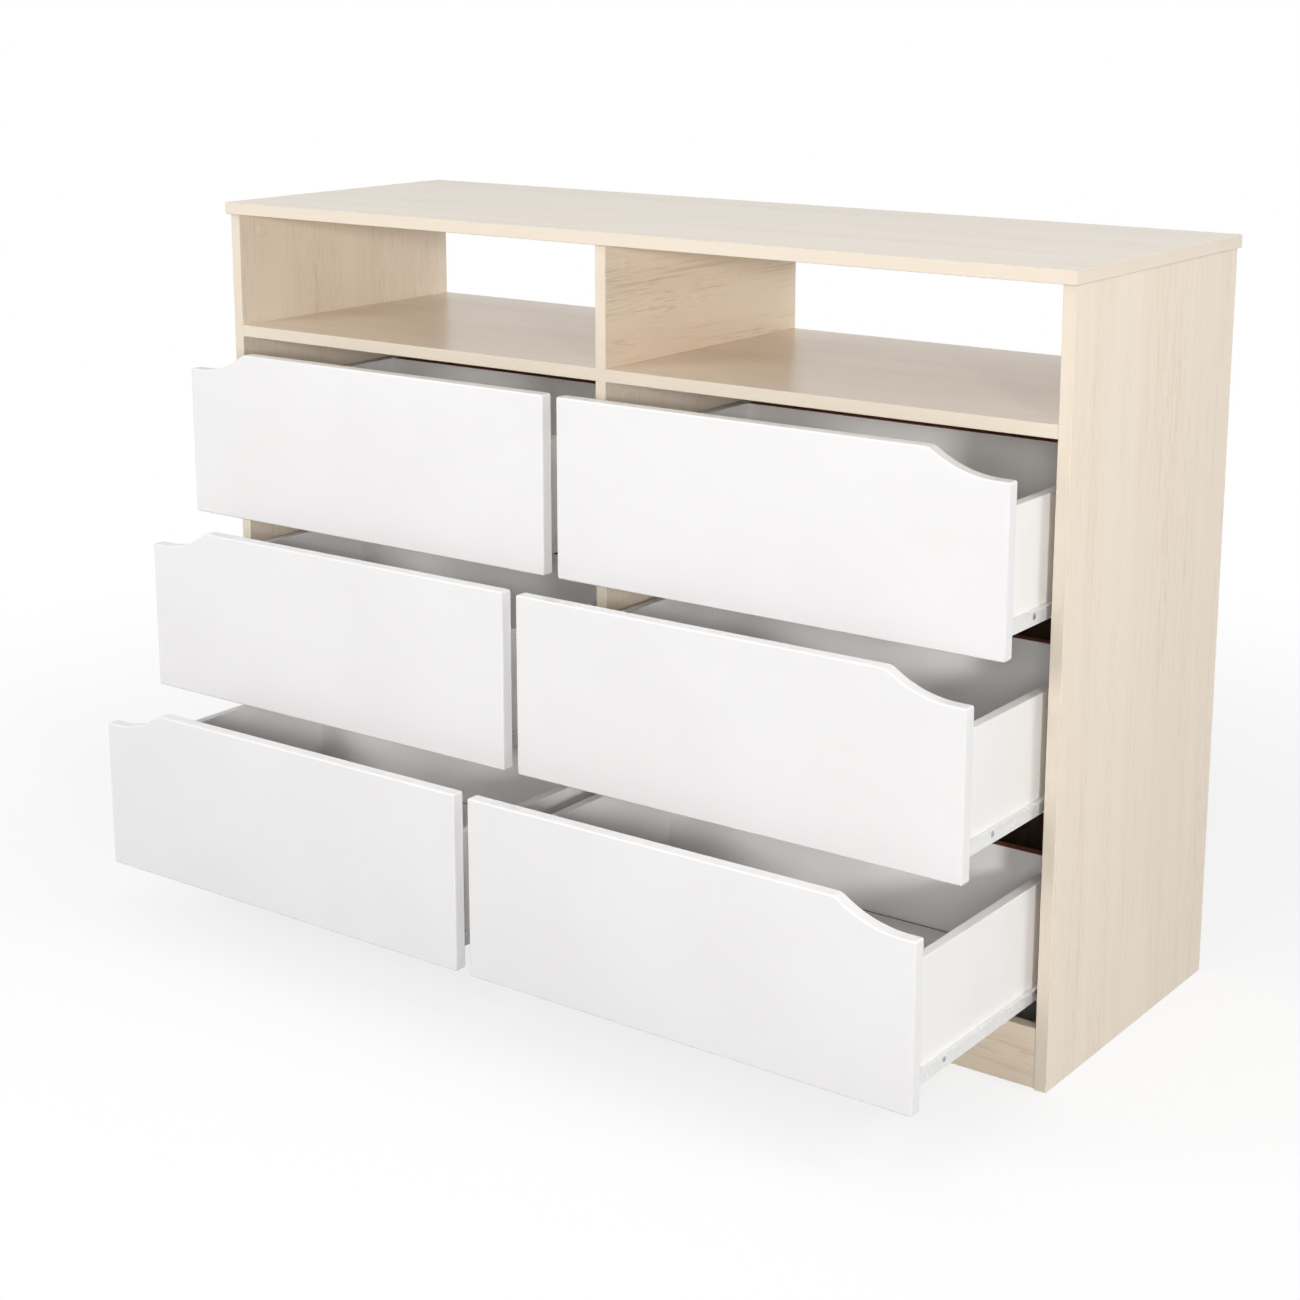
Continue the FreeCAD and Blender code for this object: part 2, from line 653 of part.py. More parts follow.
def make_rail(label, hand, wall_x, side_z):
    """Folded steel on the carcass: a ledge for the rear roller, a hook over it, a rivet and a stop nib."""
    body = new_body(label)
    profile = new_sketch(body, "XZ_Plane")
    draw_polygon(profile, mirrored((
        (0, s.rail_lift), (s.rail_ledge, s.rail_lift), (s.rail_ledge, ledge_top), (s.steel, ledge_top),
        (s.steel, hook_underside), (s.rail_hook, hook_underside),
        (s.rail_hook, hook_underside + s.steel), (0, hook_underside + s.steel)), -hand))
    pad(body, profile, s.slide_length, backwards=True)
    rivet = new_sketch(body, "YZ_Plane")
    draw_circle(rivet, (s.roller_inset, axle_height), s.axle_radius)
    pad(body, rivet, axle_length, backwards=hand > 0)
    stop_y = last_axle_y - s.roller_radius - s.roller_play
    nib = new_sketch(body, "XZ_Plane", -stop_y)
    draw_polygon(nib, mirrored((
        (s.steel, ledge_top), (s.rail_ledge, ledge_top),
        (s.rail_ledge, ledge_top + s.stop_height), (s.steel, ledge_top + s.stop_height)), -hand))
    pad(body, nib, s.stop_length)
    place(body, wall_x, front_edge + s.rail_setback, side_z)
    return body


def make_roller(label, low_x, axle_y, axle_z):
    """A nylon roller with chamfered rims, turned about its rivet."""
    body = new_body(label)
    bore_radius = s.axle_radius + s.axle_play
    profile = new_sketch(body, "XY_Plane")
    draw_polygon(profile, (
        (0, bore_radius), (s.roller_width, bore_radius), (s.roller_width, s.roller_radius - s.roller_bevel),
        (s.roller_width - s.roller_bevel, s.roller_radius), (s.roller_bevel, s.roller_radius),
        (0, s.roller_radius - s.roller_bevel)))
    turned = body.newObject("PartDesign::Revolution", f"{label}_turned")
    turned.Profile = profile
    turned.ReferenceAxis = (profile, ["H_Axis"])
    turned.Angle = 360
    place(body, low_x, axle_y, axle_z)
    return body


rails = []


def make_drawer(column, side, row, number):
    """One drawer as it stands at rest, with its slides, and the two rails that carry it."""
    name = f"{row}_{column}"
    middle_x = side * (half_board + bay_width / 2)
    front_z = kick_top + s.front_gap + number * row_pitch
    side_z = front_z + s.drawer_side_lift
    face_y = front_edge - opening_of[row]
    box_y = face_y + s.front_thickness
    rear_axle_y = box_y + s.slide_length - s.roller_inset
    front_axle_y = front_edge + s.rail_setback + s.roller_inset
    axle_z = side_z + axle_height
    nodes.append(make_front(f"{name}_front", side, middle_x, face_y, front_z))
    runners = []
    rear_rollers = []
    front_rollers = []
    for hand_name, hand in SIDES:
        place_name = "outer" if hand == side else "inner"
        nodes.append(make_drawer_side(f"{name}_{place_name}_side", hand, middle_x, box_y, side_z))
        box_x = middle_x + hand * box_width / 2
        wall_x = middle_x + hand * bay_width / 2
        runners.append(make_runner(f"{name}_{hand_name}_runner", hand, box_x, box_y, side_z))
        rails.append(make_rail(f"{name}_{hand_name}_rail", hand, wall_x, side_z))
        # a roller's low end is its near end on the right hand and its far end on the left one
        rear_x = box_x + roller_start if hand > 0 else box_x - roller_start - s.roller_width
        front_x = wall_x - roller_start - s.roller_width if hand > 0 else wall_x + roller_start
        rear_rollers.append(make_roller(f"{name}_{hand_name}_rear_roller", rear_x, rear_axle_y, axle_z))
        front_rollers.append(make_roller(f"{name}_{hand_name}_front_roller", front_x, front_axle_y, axle_z))
    nodes.append(make_drawer_back(f"{name}_back", middle_x, box_y, side_z))
    nodes.append(make_drawer_bottom(f"{name}_bottom", middle_x, box_y, side_z))
    nodes.append(group(f"{name}_runners", runners))
    nodes.append(group(f"{name}_runner_rollers", rear_rollers))
    nodes.append(group(f"{name}_rail_rollers", front_rollers))


nodes.append(make_top_panel())
for column, side in SIDES:
    nodes.append(make_side_panel(column, side))
nodes.append(make_shelf())
nodes.append(make_cubby_divider())
nodes.append(make_centre_partition())
nodes.append(make_plinth_board("kick_board", kick_front, cams_at_back=True))
nodes.append(make_plinth_board("rear_rail", rear_rail_front, cams_at_back=False))
nodes.append(make_back_panels())
nodes.append(make_cam_locks())
nodes.append(make_dowels())
for column, side in SIDES:
    for number, row in enumerate(ROWS):
        make_drawer(column, side, row, number)
nodes.append(group("cabinet_rails", rails))

doc.recompute()
for thing in doc.Objects:
    if "Invalid" in thing.State or "Error" in thing.State:
        raise ValueError(f"{thing.Label} failed: {thing.State}")
for node in nodes:
    if node.Shape.isNull() or not node.Shape.isValid():
        raise ValueError(f"{node.Label} has no valid shape")

os.makedirs("parts", exist_ok=True)
for node in nodes:
    node.Shape.exportStep(os.path.join("parts", f"{node.Label}.step"))
    print(node.Label, len(node.Shape.Solids), "solids", round(node.Shape.Volume / 1000, 2), "cm3")
print(len(nodes), "nodes")
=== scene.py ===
# %% [markdown]
# # A dresser with open cubbies
# This lesson dresses a finished furniture model: pale wood-look boards, white drawer fronts with an
# ogee scoop, and drawers that run on roller slides. The boards, drawers and slides come from the
# construction model, which is loaded first and never moved. Blender adds the finishes and the small
# hardware that the construction model leaves out.

# %% Load the construction model
import math

import bpy
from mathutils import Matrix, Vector


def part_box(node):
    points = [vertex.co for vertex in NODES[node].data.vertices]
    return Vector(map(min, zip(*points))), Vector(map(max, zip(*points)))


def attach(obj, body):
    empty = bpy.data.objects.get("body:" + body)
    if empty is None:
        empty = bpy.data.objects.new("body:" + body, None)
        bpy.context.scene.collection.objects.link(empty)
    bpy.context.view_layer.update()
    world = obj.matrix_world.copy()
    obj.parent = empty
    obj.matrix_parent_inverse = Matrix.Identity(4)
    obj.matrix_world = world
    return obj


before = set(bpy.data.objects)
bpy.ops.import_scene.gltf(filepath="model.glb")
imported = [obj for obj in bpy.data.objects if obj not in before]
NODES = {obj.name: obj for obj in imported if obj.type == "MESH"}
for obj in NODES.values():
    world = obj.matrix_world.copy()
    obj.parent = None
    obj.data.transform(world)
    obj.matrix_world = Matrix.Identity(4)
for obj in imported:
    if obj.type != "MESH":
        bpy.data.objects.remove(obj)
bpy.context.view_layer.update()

MM = 0.001
ROWS = ("bottom", "middle", "top")
COLUMNS = ("left", "right")
DRAWERS = [f"{row}_{column}" for row in ROWS for column in COLUMNS]

# %% [markdown]
# ## The camera
# The picture was taken from the right of the dresser with a moderate tele lens. Its uprights are all
# parallel, which takes a level camera and a large shift. Other views keep the shift and would then
# lose the object, so the camera here looks down a little and shifts only as far as they can bear.

# %% Place the camera
CAMERA_PLACE = Vector((1.643, -2.337, 1.175))
CAMERA_TURN = math.radians(36.34)
CAMERA_TILT = math.radians(12.46)
CAMERA_LENS_MM, CAMERA_SENSOR_MM = 65.68, 36
CAMERA_SHIFT = -0.12


def place_camera():
    bpy.ops.object.camera_add(
        location=CAMERA_PLACE, rotation=(math.pi / 2 - CAMERA_TILT, 0, CAMERA_TURN))
    camera = bpy.context.object
    camera.name = "camera"
    camera.data.sensor_width = CAMERA_SENSOR_MM
    camera.data.lens = CAMERA_LENS_MM
    camera.data.shift_y = CAMERA_SHIFT
    bpy.context.scene.camera = camera
    return camera


camera = place_camera()

# %% [markdown]
# ## Helpers for node trees
# The light and every finish below are small node trees. These helpers add a node with its settings,
# feed a socket, and do arithmetic, so that each later cell shows only what is special about it.

# %% Define the node helpers


def add_node(tree, kind, sockets=None, **settings):
    """A node of one kind, with its settings by name and the values of its input sockets in a dict."""
    node = tree.nodes.new(kind)
    for name, value in settings.items():
        setattr(node, name, value)
    for label, value in (sockets or {}).items():
        node.inputs[label].default_value = value
    return node


def is_socket(value):
    return isinstance(value, bpy.types.NodeSocket)


def join(tree, value, socket):
    """Feeds a socket: by a link from another node's socket, or else with a plain value."""
    if is_socket(value):
        tree.links.new(value, socket)
    else:
        socket.default_value = value


def math_node(tree, operation, first, second, clamp=False):
    """Arithmetic on two values, each a socket or a number."""
    node = add_node(tree, "ShaderNodeMath", operation=operation, use_clamp=clamp)
    join(tree, first, node.inputs[0])
    join(tree, second, node.inputs[1])
    return node.outputs[0]


def ramp_between(tree, value, low, high, start=0.0, end=1.0):
    """Maps a value smoothly from one range to another and holds it at both ends."""
    limits = {"From Min": low, "From Max": high, "To Min": start, "To Max": end}
    node = add_node(tree, "ShaderNodeMapRange", limits, interpolation_type="SMOOTHSTEP")
    join(tree, value, node.inputs["Value"])
    return node.outputs["Result"]


def split_axes(tree, vector):
    """The three numbers of a vector, as sockets."""
    node = add_node(tree, "ShaderNodeSeparateXYZ")
    join(tree, vector, node.inputs[0])
    return node.outputs


# %% [markdown]
# ## Light
# The picture is bright and even, and even the cubbies and the open drawers are well lit. That takes
# lamps near the camera, which reach whatever the camera sees, more than light from all round, which
# leaves every recess dark. The edges of the shadows inside the drawers put the main lamp to the right
# of the camera, about as high as it looks over the drawer fronts, and a weaker one behind the camera.
# A third lamp stands on the left, another on the right for the side panel, one hangs in front above
# the top, and the backdrop sends light through the open backs of the cubbies. The two small lamps stay
# out of glossy reflections, or they would burn a white patch into the top when it is seen from behind.
# The background is white because the world shows white to the camera, not because more light falls on
# the dresser.

# %% Light the world
ROOM_LIGHT, BACKDROP_LIGHT = 0.04, 0.64
BACKDROP_EDGE = 0.6
ROOM_TINT = (1.0, 0.995, 0.99, 1)
WHITE = (1, 1, 1, 1)
scene = bpy.context.scene
scene.view_settings.view_transform = "Standard"


def seen_directly(tree):
    """1 for rays that show a surface, straight or in gloss or glass, and 0 for those that carry light."""
    rays = add_node(tree, "ShaderNodeLightPath").outputs
    seen = math_node(tree, "MAXIMUM", rays["Is Camera Ray"], rays["Is Glossy Ray"])
    return math_node(tree, "MAXIMUM", seen, rays["Is Transmission Ray"])


def blend_shaders(tree, share, first, second, output):
    """Sends a blend of two shaders to the named output node."""
    mix = add_node(tree, "ShaderNodeMixShader")
    for value, socket in zip((share, first, second), mix.inputs):
        join(tree, value, socket)
    join(tree, mix.outputs[0], tree.nodes[output].inputs["Surface"])


def light_world():
    world = bpy.data.worlds.new("white_room")
    world.use_nodes = True
    tree = world.node_tree
    ambient = tree.nodes["Background"]
    ambient.inputs["Color"].default_value = ROOM_TINT
    backwards = split_axes(tree, add_node(tree, "ShaderNodeTexCoord").outputs["Generated"])["Y"]
    strength = ramp_between(
        tree, backwards, -BACKDROP_EDGE, BACKDROP_EDGE, ROOM_LIGHT, BACKDROP_LIGHT)
    join(tree, strength, ambient.inputs["Strength"])
    white = add_node(tree, "ShaderNodeBackground", {"Color": WHITE, "Strength": 1.0})
    blend_shaders(tree, seen_directly(tree), ambient.outputs[0], white.outputs[0], "World Output")
    scene.world = world


light_world()
print("world from", ROOM_LIGHT, "in front to", BACKDROP_LIGHT, "behind")

# %% Hang the lamps
LAMPS = (
    # name, place, target, width, watts, whether it shows in gloss
    ("key_softbox", (3.30, -2.90, 1.28), (0.2, -0.1, 0.50), 0.45, 77, False),
    ("camera_softbox", (2.20, -3.40, 1.36), (0.2, -0.1, 0.50), 0.6, 28, False),
    ("fill_softbox", (-1.70, -2.70, 1.60), (-0.1, -0.2, 0.50), 1.4, 46, True),
    ("side_softbox", (2.80, 0.30, 2.40), (0.6, 0.0, 0.70), 1.2, 20, True),
    ("high_softbox", (0.20, -1.60, 2.80), (0.2, -0.1, 0.50), 1.6, 13, True),
)


def add_lamp(name, place, target, size, watts, in_gloss):
    bpy.ops.object.light_add(type="AREA", location=place)
    lamp = bpy.context.object
    lamp.name = name
    lamp.data.shape = "DISK"
    lamp.data.size = size
    lamp.data.energy = watts
    lamp.visible_glossy = in_gloss
    lamp.rotation_euler = (Vector(target) - Vector(place)).to_track_quat("-Z", "Y").to_euler()
    print(name, watts, "watts")


for lamp_values in LAMPS:
    add_lamp(*lamp_values)

# %% [markdown]
# ## Floor
# The floor is one large pale plane. Near the dresser it is a matt surface that takes the soft shadow.
# Further out it fades into the white of the background, so that no horizon shows from any side. Under
# the carcass it stays plain, so that the space behind the kick board is as dark as it should be. The
# light that it throws back at the dresser is that of a greyer floor, or the undersides would glow.

# %% Lay the floor
FLOOR_SIZE = 40
FLOOR_NEAR, FLOOR_FAR = 0.7, 2.0
FLOOR_LIFT = 0.76
FLOOR_SEEN, FLOOR_FELT = (0.95, 0.95, 0.95), (0.36, 0.36, 0.36)
CARCASS_HALF = (0.590, 0.190)
COLOUR_A, COLOUR_B, COLOUR_RESULT = 6, 7, 2


def new_material(name, shader_values):
    """A material whose Principled shader has the plain values set on its own sockets."""
    material = bpy.data.materials.new(name)
    material.use_nodes = True
    tree = material.node_tree
    shader = tree.nodes["Principled BSDF"]
    for label, value in shader_values.items():
        shader.inputs[label].default_value = value
    place = add_node(tree, "ShaderNodeTexCoord").outputs["Object"]
    return material, tree, shader.inputs, place


def mix_colours(tree, share, first, second):
    """Blends two colours, each a socket or a fixed colour, by a share that is a socket or a number."""
    node = add_node(tree, "ShaderNodeMix", data_type="RGBA")
    join(tree, share, node.inputs["Factor"])
    for colour, place in ((first, COLOUR_A), (second, COLOUR_B)):
        join(tree, colour if is_socket(colour) else (*colour, 1), node.inputs[place])
    return node.outputs[COLOUR_RESULT]


def floor_material():
    material, tree, shader, place = new_material(
        "pale_floor", {"Roughness": 1.0, "Specular IOR Level": 0.0})
    distance = add_node(tree, "ShaderNodeVectorMath", operation="LENGTH")
    join(tree, place, distance.inputs[0])
    share = ramp_between(tree, distance.outputs["Value"], FLOOR_NEAR, FLOOR_FAR, FLOOR_LIFT, 1.0)
    outside = [math_node(tree, "GREATER_THAN", math_node(tree, "ABSOLUTE", axis, 0.0), half)
               for axis, half in zip(split_axes(tree, place), CARCASS_HALF)]
    share = math_node(tree, "MULTIPLY", share, math_node(tree, "MAXIMUM", *outside))
    seen = seen_directly(tree)
    join(tree, mix_colours(tree, seen, FLOOR_FELT, FLOOR_SEEN), shader["Base Color"])
    white = add_node(tree, "ShaderNodeEmission", {"Color": WHITE, "Strength": 1.0})
    blend_shaders(tree, math_node(tree, "MULTIPLY", share, seen),
                  tree.nodes["Principled BSDF"].outputs[0], white.outputs[0], "Material Output")
    return material


bpy.ops.mesh.primitive_plane_add(size=FLOOR_SIZE, location=(0, 0, 0))
floor = bpy.context.object
floor.name = "floor"
floor.data.materials.append(floor_material())
print("floor", FLOOR_SIZE, "m wide")

# %% [markdown]
# ## Wood grain
# The boards are chipboard with a printed melamine face: a pale ash with soft bands, thin darker growth
# lines and short dark pores. A print has no depth, so it could be a flat pattern per face. A solid
# pattern that is stretched along the grain does the same on every face at once, so the group below
# takes coordinates whose X runs along the grain and puts out a colour and the height of the embossing.

# %% Build the wood grain group
# each scale is along the grain and twice across it, per metre; each step is where a layer sets in
BEND_SCALE, BEND_REACH = (1.3, 4.5, 4.5), (0.0, 0.03, 0.03)
BAND_SCALE, BAND_STEP, BAND_WEIGHT = (0.6, 22, 22), (0.35, 0.68), 0.22
LINE_SCALE, LINE_STEP, LINE_WEIGHT = (5.0, 250, 250), (0.53, 0.68), 0.55
STREAK_SCALE, STREAK_WEIGHT = (7.0, 620, 620), 0.20
PORE_SCALE, PORE_STEP, PORE_WEIGHT = (34, 560, 560), (0.54, 0.68), 0.70
CLUSTER_SCALE, CLUSTER_STEP = (2.2, 17, 17), (0.42, 0.66)
LINES_OFF_BANDS = 0.35


def new_group(name, inputs, outputs):
    """A shader node group with named sockets; returns the tree, its inputs and its outputs."""
    tree = bpy.data.node_groups.new(name, "ShaderNodeTree")
    for label, kind in inputs:
        tree.interface.new_socket(label, in_out="INPUT", socket_type=kind)
    for label, kind in outputs:
        tree.interface.new_socket(label, in_out="OUTPUT", socket_type=kind)
    return tree, add_node(tree, "NodeGroupInput").outputs, add_node(tree, "NodeGroupOutput").inputs


def noise(tree, vector, detail, roughness=0.5):
    node = add_node(tree, "ShaderNodeTexNoise", {"Scale": 1.0, "Detail": detail, "Roughness": roughness})
    join(tree, vector, node.inputs["Vector"])
    return node


def stretched_noise(tree, vector, scale, detail, roughness=0.5):
    """Noise with its own scale on each axis."""
    stretch = add_node(tree, "ShaderNodeVectorMath", {1: scale}, operation="MULTIPLY")
    join(tree, vector, stretch.inputs[0])
    return noise(tree, stretch.outputs[0], detail, roughness).outputs


def bend_grain(tree, vector):
    """Slow waves that bend the grain a little, as round a knot."""
    wander = stretched_noise(tree, vector, BEND_SCALE, 2.0)["Color"]
    centred = add_node(tree, "ShaderNodeVectorMath", {1: (0.5, 0.5, 0.5)}, operation="SUBTRACT")
    join(tree, wander, centred.inputs[0])
    bent = add_node(tree, "ShaderNodeVectorMath", {1: BEND_REACH}, operation="MULTIPLY_ADD")
    join(tree, centred.outputs[0], bent.inputs[0])
    join(tree, vector, bent.inputs[2])
    return bent.outputs[0]


def build_wood_grain():
    tree, given, result = new_group(
        "wood_grain",
        (("Vector", "NodeSocketVector"), ("Pale", "NodeSocketColor"), ("Dark", "NodeSocketColor"),
         ("Lines", "NodeSocketFloat")),
        (("Color", "NodeSocketColor"), ("Height", "NodeSocketFloat")))
    bent = bend_grain(tree, given["Vector"])
    # broad soft bands, growth lines and fine streaks, each finer than the last
    bands = stretched_noise(tree, bent, BAND_SCALE, 2.0)["Fac"]
    lines = stretched_noise(tree, bent, LINE_SCALE, 3.0, 0.6)["Fac"]
    streaks = stretched_noise(tree, bent, STREAK_SCALE, 2.0)["Fac"]
    bands = ramp_between(tree, bands, *BAND_STEP)
    lines = math_node(tree, "MULTIPLY", ramp_between(tree, lines, *LINE_STEP),
                      ramp_between(tree, bands, 0.0, 1.0, LINES_OFF_BANDS, 1.0))
    # pores are short dashes that gather in a few clusters
    dashes = stretched_noise(tree, bent, PORE_SCALE, 1.0)["Fac"]
    clusters = stretched_noise(tree, bent, CLUSTER_SCALE, 1.0)["Fac"]
    pores = math_node(tree, "MULTIPLY", ramp_between(tree, dashes, *PORE_STEP),
                      ramp_between(tree, clusters, *CLUSTER_STEP))
    tone = math_node(tree, "MULTIPLY", lines, LINE_WEIGHT)
    for layer, weight in ((pores, PORE_WEIGHT), (streaks, STREAK_WEIGHT), (bands, BAND_WEIGHT)):
        tone = math_node(tree, "ADD", tone, math_node(tree, "MULTIPLY", layer, weight))
    tone = math_node(tree, "MULTIPLY", tone, given["Lines"], clamp=True)
    join(tree, mix_colours(tree, tone, given["Pale"], given["Dark"]), result["Color"])
    join(tree, math_node(tree, "SUBTRACT", 1.0, pores), result["Height"])
    return tree


wood_grain = build_wood_grain()
print("group", wood_grain.name, "with", len(wood_grain.nodes), "nodes")

# %% [markdown]
# ## Melamine boards
# Each board is cut with the grain along its length: upright in the side panels, across in the top and
# the shelf, and front to back in the little divider. The divider and the kick board have a warmer pale
# and stronger lines. The edges carry a plain band in the mean colour of the face, with almost no
# grain. The shader tells edge and face apart by which way a face looks, so one material does a board.

# %% Define the board finish
ASH_PALE = (0.87, 0.762, 0.632)
ASH_WARM = (0.88, 0.748, 0.592)
ASH_DARK = (0.635, 0.49, 0.335)
BAND_PALE = (0.795, 0.70, 0.578)
BAND_GRAIN = 0.25
FACE_STEP = (0.80, 0.95)
PORE_DEPTH_MM = 0.06


def use_group(tree, group, **values):
    """Places a group in a tree; its inputs are named in small letters, each a socket or a value."""
    node = add_node(tree, "ShaderNodeGroup", node_tree=group)
    for name, value in values.items():
        join(tree, value, node.inputs[name.title()])
    return node.outputs


def add_bump(tree, shader, height, depth_mm):
    """Raises the surface by a height from 0 to 1 times a depth in millimetres."""
    bump = add_node(tree, "ShaderNodeBump", {"Strength": 1.0, "Distance": depth_mm * MM})
    join(tree, height, bump.inputs["Height"])
    join(tree, bump.outputs["Normal"], shader["Normal"])


def facing(tree, axis):
    """How squarely a face looks along an axis: 1 towards it, -1 away from it."""
    normal = add_node(tree, "ShaderNodeNewGeometry").outputs["True Normal"]
    node = add_node(tree, "ShaderNodeVectorMath", {1: axis}, operation="DOT_PRODUCT")
    join(tree, normal, node.inputs[0])
    return node.outputs["Value"]


def make_melamine(name, grain_turn, face_axis, lines, pale=ASH_PALE):
    """A board whose grain is turned onto X, with plain bands where a face doesn't look along the axis."""
    material, tree, shader, place = new_material(name, {"Roughness": 0.27, "Specular IOR Level": 0.5})
    turned = add_node(tree, "ShaderNodeMapping", {"Rotation": grain_turn})
    join(tree, place, turned.inputs["Vector"])
    grain = use_group(tree, wood_grain, vector=turned.outputs[0], pale=(*pale, 1),
                      dark=(*ASH_DARK, 1), lines=lines)
    squareness = math_node(tree, "ABSOLUTE", facing(tree, face_axis), 0.0)
    on_face = ramp_between(tree, squareness, *FACE_STEP)
    band = mix_colours(tree, BAND_GRAIN, BAND_PALE, grain["Color"])
    join(tree, mix_colours(tree, on_face, band, grain["Color"]), shader["Base Color"])
    add_bump(tree, shader, grain["Height"], PORE_DEPTH_MM)
    return material


def finish_nodes(material, names):
    """Puts a material on the slots of construction nodes."""
    for name in names:
        for slot in NODES[name].material_slots:
            slot.material = material
    print(material.name, "covers", len(names), "nodes")


# %% Finish the boards
ALONG_X = (0, 0, 0)
ALONG_Y = (0, 0, -math.pi / 2)
ALONG_Z = (0, math.pi / 2, 0)
upright = make_melamine("ash_upright", ALONG_Z, face_axis=(1, 0, 0), lines=0.44)
level = make_melamine("ash_level", ALONG_X, face_axis=(0, 0, 1), lines=0.36)
across = make_melamine("ash_divider", ALONG_Y, face_axis=(1, 0, 0), lines=0.9, pale=ASH_WARM)
plinth = make_melamine("ash_plinth", ALONG_X, face_axis=(0, 1, 0), lines=0.8, pale=ASH_WARM)
finish_nodes(upright, ("left_side_panel", "right_side_panel", "centre_partition"))
finish_nodes(level, ("top_panel", "shelf"))
finish_nodes(across, ("cubby_divider",))
finish_nodes(plinth, ("kick_board", "rear_rail"))

# %% [markdown]
# ## Mottle
# Paint, nylon and fibreboard all vary a little: broad patches where the coat is thicker, and a fine
# texture that breaks up the highlight. One group gives both, and each finish sets its own scales. The
# patches change the colour and, by a little, the gloss.

# %% Build the mottle group
MOTTLE_STEP = (0.3, 0.7)


def build_mottle():
    tree, given, result = new_group(
        "mottle",
        (("Vector", "NodeSocketVector"), ("Patches", "NodeSocketFloat"), ("Texture", "NodeSocketFloat")),
        (("Patch", "NodeSocketFloat"), ("Height", "NodeSocketFloat")))
    for label, scale, detail in (("Patch", given["Patches"], 3.0), ("Height", given["Texture"], 2.0)):
        node = noise(tree, given["Vector"], detail)
        join(tree, scale, node.inputs["Scale"])
        join(tree, ramp_between(tree, node.outputs["Fac"], *MOTTLE_STEP), result[label])
    return tree


def vary_roughness(tree, shader, mask, low, high):
    """Gloss that changes over the surface: the roughness goes from low to high with a mask."""
    join(tree, ramp_between(tree, mask, 0.0, 1.0, low, high), shader["Roughness"])


def make_mottled(name, colours, patches, texture, gloss, depth_mm, **shader_values):
    """A finish in patches of two colours, which also differ a little in roughness."""
    labels = {label.replace("_", " "): value for label, value in shader_values.items()}
    material, tree, shader, place = new_material(name, labels)
    skin = use_group(tree, mottle, vector=place, patches=patches, texture=texture)
    join(tree, mix_colours(tree, skin["Patch"], *colours), shader["Base Color"])
    vary_roughness(tree, shader, skin["Patch"], *gloss)
    add_bump(tree, shader, skin["Height"], depth_mm)
    return material


mottle = build_mottle()
print("group", mottle.name, "with", len(mottle.nodes), "nodes")

# %% [markdown]
# ## White finishes
# The fronts are smooth satin lacquer. The drawer boxes and their bottoms are a plainer white foil, and
# only the top edge of a drawer back is raw brown fibreboard. Where a face looks decides between foil
# and raw board, as on the banded edges. Along the back, each drawer bottom has a thin dark line in the
# raw board colour, a painted shadow of the joint, so each row of drawers has bottoms with a line at
# its own place.

# %% Define the foil of the drawer boxes
FOIL_WHITE, FOIL_SHADE = (0.91, 0.892, 0.872), (0.885, 0.866, 0.845)
FOIL_GLOSS, FOIL_DEPTH_MM = (0.47, 0.53), 0.03
# the raw board colours also paint the shadow line of the joint along the back of each drawer bottom
RAW_BOARD_AND_GAP_SHADE, RAW_BOARD_PALE_AND_GAP_SHADE = (0.27, 0.095, 0.05), (0.38, 0.15, 0.085)
TOP_STEP = (0.5, 0.6)


def make_foil(name, bare_top=False, gap_shade_from=None):
    """White foil; raw brown board on a bare top, and a painted shadow line in the raw board colour on a
    bottom behind the given place along Y.
    """
    material, tree, shader, place = new_material(name, {"Specular IOR Level": 0.4})
    skin = use_group(tree, mottle, vector=place, patches=9.0, texture=1100.0)
    colour = mix_colours(tree, skin["Patch"], FOIL_WHITE, FOIL_SHADE)
    raw_and_gap_shade = mix_colours(tree, skin["Height"], RAW_BOARD_AND_GAP_SHADE, RAW_BOARD_PALE_AND_GAP_SHADE)
    if bare_top:
        on_top = ramp_between(tree, facing(tree, (0, 0, 1)), *TOP_STEP)
        colour = mix_colours(tree, on_top, colour, raw_and_gap_shade)
    # on a bottom, the strip just in front of the back takes the raw board colour as a painted shadow of
    # the joint
    if gap_shade_from is not None:
        behind = math_node(tree, "GREATER_THAN", split_axes(tree, place)["Y"], gap_shade_from)
        colour = mix_colours(tree, behind, colour, raw_and_gap_shade)
    join(tree, colour, shader["Base Color"])
    vary_roughness(tree, shader, skin["Patch"], *FOIL_GLOSS)
    add_bump(tree, shader, skin["Height"], FOIL_DEPTH_MM)
    return material


def drawer_nodes(*parts):
    return [f"{drawer}_{part}" for drawer in DRAWERS for part in parts]


# %% Finish the fronts and the drawer boxes
LACQUER_WHITE, LACQUER_SHADE = (0.86, 0.85, 0.847), (0.835, 0.825, 0.821)
BOTTOM_LINE = 1.6
lacquer = make_mottled(
    "white_lacquer", (LACQUER_WHITE, LACQUER_SHADE), patches=6.0, texture=750.0, gloss=(0.32, 0.36),
    depth_mm=0.01, Specular_IOR_Level=0.45, Coat_Weight=0.15, Coat_Roughness=0.2)
foil = make_foil("white_foil")
bare_top_foil = make_foil("white_foil_bare_top", bare_top=True)
finish_nodes(lacquer, drawer_nodes("front"))
finish_nodes(foil, drawer_nodes("inner_side", "outer_side"))
finish_nodes(bare_top_foil, drawer_nodes("back"))
